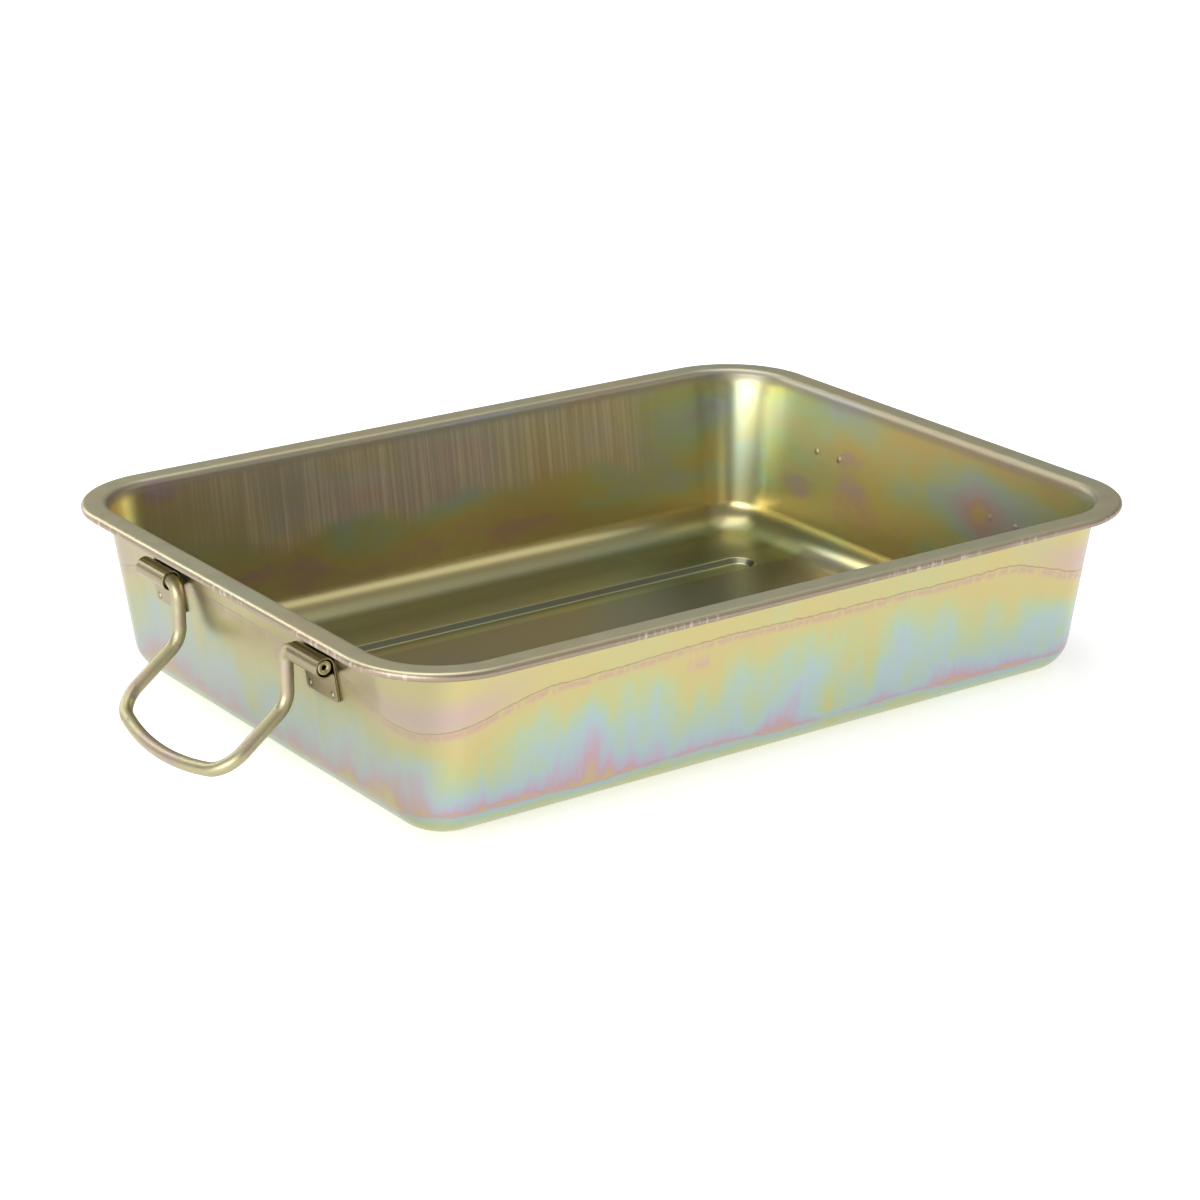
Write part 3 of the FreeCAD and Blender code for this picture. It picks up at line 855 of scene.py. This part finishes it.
def bent_tube(handle, strap_end):
    """One handle for the +X end, walked along like a bending job, as a thin outer skin."""
    bow, depth = grip_numbers(handle)
    half_kink = handle.kink_bend * math.tan(handle.kink / 2)
    down, out, side = Vector((0, 0, -1)), Vector((1, 0, 0)), Vector((0, 1, 0))
    slant = out * math.sin(handle.kink) + down * math.cos(handle.kink)
    leg_y = handle.spacing / 2
    stub = strap_end + handle.proud - leg_y - handle.stub_bend
    job = (
        ("run", stub),
        ("bend", handle.stub_bend, down, math.pi / 2, 14),
        ("run", handle.drop - handle.stub_bend - half_kink),
        ("bend", handle.kink_bend, out, handle.kink, 14),
        ("run", handle.reach - depth - half_kink),
        ("bend", handle.corner, -side, math.pi / 2 - bow, 18),
        ("bend", handle.bow, -slant, bow, 10),
    )
    at = Vector((HINGE_X, strap_end + handle.proud, HINGE_Z))
    heading = -side
    bm = bmesh.new()
    share, inwards = TUBE_LIP[0]
    bmesh.ops.create_circle(bm, segments=40, radius=handle.tube * share)
    facing = Matrix.Rotation(math.pi / 2, 4, "X")
    place = Matrix.Translation(at + heading * inwards * MM) @ facing
    bmesh.ops.transform(bm, matrix=place, verts=bm.verts)
    ring = list(bm.edges)
    for (last, last_in), (share, inwards) in zip(TUBE_LIP, TUBE_LIP[1:]):
        ring = extruded(bm, ring, heading * (inwards - last_in) * MM)
        for vert in {v for e in ring for v in e.verts}:
            away = vert.co - Vector((at.x, vert.co.y, at.z))
            vert.co += away.normalized() * handle.tube * (share - last)
    crimps = []
    walked = TUBE_LIP[-1][1] * MM
    at = at + heading * walked
    for kind, *data in job:
        if kind == "run":
            step = heading * (data[0] - walked)
            ring = extruded(bm, ring, step)
            at = at + step
            walked = 0
        else:
            radius, toward, turn, steps = data
            toward = (toward - heading * toward.dot(heading)).normalized()
            centre = at + toward * radius
            axis = heading.cross(toward)
            known = set(bm.verts)
            ring = spun(bm, ring, centre, axis, turn, steps)
            if radius < handle.bow / 2:
                crimps.append((centre, axis, radius, [v for v in bm.verts if v not in known]))
            swing = Matrix.Rotation(turn, 3, axis)
            at = centre + swing @ (at - centre)
            heading = swing @ heading
    for centre, axis, radius, verts in crimps:
        crimp(verts, centre, axis, radius, handle)
    geom = bm.verts[:] + bm.edges[:] + bm.faces[:]
    bmesh.ops.mirror(bm, geom=geom, axis="Y", merge_dist=MM / 100)
    close_up(bm)
    bmesh.ops.recalc_face_normals(bm, faces=bm.faces)
    low = min(bm.faces, key=lambda face: face.calc_center_median().z)
    if low.normal.z > 0:
        bmesh.ops.reverse_faces(bm, faces=bm.faces)
    return bm


def crimp(verts, centre, axis, radius, handle):
    """Wrinkle the inside of a bend, deepest on the side nearest its centre."""
    for vert in verts:
        arm = vert.co - centre
        arm -= axis * arm.dot(axis)
        inside = (radius - arm.length) / handle.tube
        if inside > 0:
            wave = noise.noise(vert.co * 420) + 0.6 * noise.noise(vert.co * 900)
            vert.co += arm.normalized() * handle.crimp * inside**2 * (0.5 + wave)


def bend_handles():
    """Both handles."""
    handle = bpy.context.scene.tray_handle_shape
    finish = tube_finish()
    for end, sign in ENDS:
        bm = bent_tube(handle, STRAP_HIGH.y)
        turn = Matrix.Rotation(0 if sign > 0 else math.pi, 4, "Z")
        bmesh.ops.transform(bm, matrix=turn, verts=bm.verts)
        piece = finished(f"{end}_tube_handle", bm, f"{end}_handle", [finish])
        give_wall(piece, handle.wall)
        soften(piece, 0)
        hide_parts(f"{end}_handle")


# ---------------------------------------------------------------- stage


def plain(name, colour, roughness, glow):
    """A plain painted surface for the stage."""
    material = bpy.data.materials.new(name)
    material.use_nodes = True
    shader = material.node_tree.nodes["Principled BSDF"]
    shader.inputs["Base Color"].default_value = (*colour, 1)
    shader.inputs["Roughness"].default_value = roughness
    shader.inputs["Specular IOR Level"].default_value = 0.1
    shader.inputs["Emission Color"].default_value = (1, 1, 1, 1)
    shader.inputs["Emission Strength"].default_value = glow
    return material


def softbox(name, place, size, power, target=(0, 0, 0.05)):
    """A rectangular light that faces the tray."""
    data = bpy.data.lights.new(name, "AREA")
    data.shape = "RECTANGLE"
    data.size, data.size_y = size
    data.energy = power
    lamp = bpy.data.objects.new(name, data)
    aim = (Vector(target) - Vector(place)).to_track_quat("-Z", "Y")
    lamp.matrix_world = Matrix.Translation(place) @ aim.to_matrix().to_4x4()
    bpy.context.scene.collection.objects.link(lamp)


def set_stage():
    """Camera, pale floor and soft light."""
    scene = bpy.context.scene
    stage = scene.tray_stage
    bm = bmesh.new()
    bmesh.ops.create_grid(bm, x_segments=1, y_segments=1, size=stage.floor_size / 2)
    mesh = bpy.data.meshes.new("floor")
    bm.to_mesh(mesh)
    bm.free()
    mesh.materials.append(plain("Pale floor", (0.86, 0.86, 0.86), 0.9, stage.glow))
    floor = bpy.data.objects.new("floor", mesh)
    scene.collection.objects.link(floor)

    softbox("overhead", (-0.5, 0.6, 3.2), (2.8, 2.8), stage.overhead)
    softbox("front right", (1.9, -2.1, 1.4), (2.4, 1.0), stage.front)
    softbox("back", (-0.95, 2.5, 1.25), (0.8, 2.3), stage.back)
    softbox("left", (-2.6, -0.92, 0.62), (2.5, 0.95), stage.left)

    world = bpy.data.worlds.new("Room")
    world.use_nodes = True
    nodes, links = world.node_tree.nodes, world.node_tree.links
    room = nodes["Background"]
    room.inputs["Strength"].default_value = stage.ambient
    direction = nodes.new("ShaderNodeTexCoord")
    upward = nodes.new("ShaderNodeSeparateXYZ")
    shade = nodes.new("ShaderNodeValToRGB")
    shade.color_ramp.elements.remove(shade.color_ramp.elements[0])
    shade.color_ramp.elements[0].color = (1, 1, 1, 1)
    for height, tone in ROOM_TONES:
        point = shade.color_ramp.elements.new(height)
        point.color = (*(tone * share for share in ROOM_CAST), 1)
    links.new(direction.outputs["Generated"], upward.inputs[0])
    links.new(upward.outputs["Z"], shade.inputs["Fac"])
    links.new(shade.outputs["Color"], room.inputs["Color"])
    scene.world = world
    scene.view_settings.view_transform = "Standard"
    scene.view_settings.look = "None"

    lens = bpy.data.cameras.new("camera")
    lens.lens = stage.lens
    lens.sensor_width = 36
    lens.clip_end = 50
    camera = bpy.data.objects.new("camera", lens)
    tilt = Matrix.Rotation(math.pi / 2 - stage.elevation, 4, "X")
    turn = Matrix.Rotation(stage.azimuth, 4, "Z") @ tilt
    camera.matrix_world = Matrix.Translation(stage.camera) @ turn
    scene.collection.objects.link(camera)
    scene.camera = camera


# ---------------------------------------------------------------- operators and panel


class PressPan(bpy.types.Operator):
    """Press the tray from one sheet"""

    bl_idname = "drip_tray.press_pan"
    bl_label = "Press tray"

    def execute(self, context):
        press_pan()
        return {"FINISHED"}


class FoldStraps(bpy.types.Operator):
    """Fold the four straps that hold the handles"""

    bl_idname = "drip_tray.fold_straps"
    bl_label = "Fold straps"

    def execute(self, context):
        fold_straps()
        return {"FINISHED"}


class BendHandles(bpy.types.Operator):
    """Bend the two tube handles"""

    bl_idname = "drip_tray.bend_handles"
    bl_label = "Bend handles"

    def execute(self, context):
        bend_handles()
        return {"FINISHED"}


class SetStage(bpy.types.Operator):
    """Set up the camera, the floor and the light"""

    bl_idname = "drip_tray.set_stage"
    bl_label = "Set stage"

    def execute(self, context):
        set_stage()
        return {"FINISHED"}


class TrayPanel(bpy.types.Panel):
    """Lists the tray's operators"""

    bl_idname = "VIEW3D_PT_drip_tray"
    bl_label = "Drip tray"
    bl_space_type = "VIEW_3D"
    bl_region_type = "UI"
    bl_category = "Drip tray"

    def draw(self, context):
        for operator in OPERATORS:
            self.layout.operator(operator.bl_idname)


GROUPS = {
    "tray_pan_shape": PanShape,
    "tray_strap_shape": StrapShape,
    "tray_handle_shape": HandleShape,
    "tray_colours": FinishColours,
    "tray_stage": StageSetup,
}
OPERATORS = (SetStage, PressPan, FoldStraps, BendHandles)


def register():
    """Add the sizes, the operators and the panel."""
    for kind in (*GROUPS.values(), *OPERATORS, TrayPanel):
        bpy.utils.register_class(kind)
    for name, group in GROUPS.items():
        setattr(bpy.types.Scene, name, PointerProperty(type=group))


def unregister():
    """Take them away again."""
    for name in GROUPS:
        delattr(bpy.types.Scene, name)
    for kind in (TrayPanel, *OPERATORS, *GROUPS.values()):
        bpy.utils.unregister_class(kind)


def main():
    """Make every piece."""
    register()
    bpy.ops.drip_tray.set_stage()
    bpy.ops.drip_tray.press_pan()
    bpy.ops.drip_tray.fold_straps()
    bpy.ops.drip_tray.bend_handles()


if __name__ == "__main__":
    main()
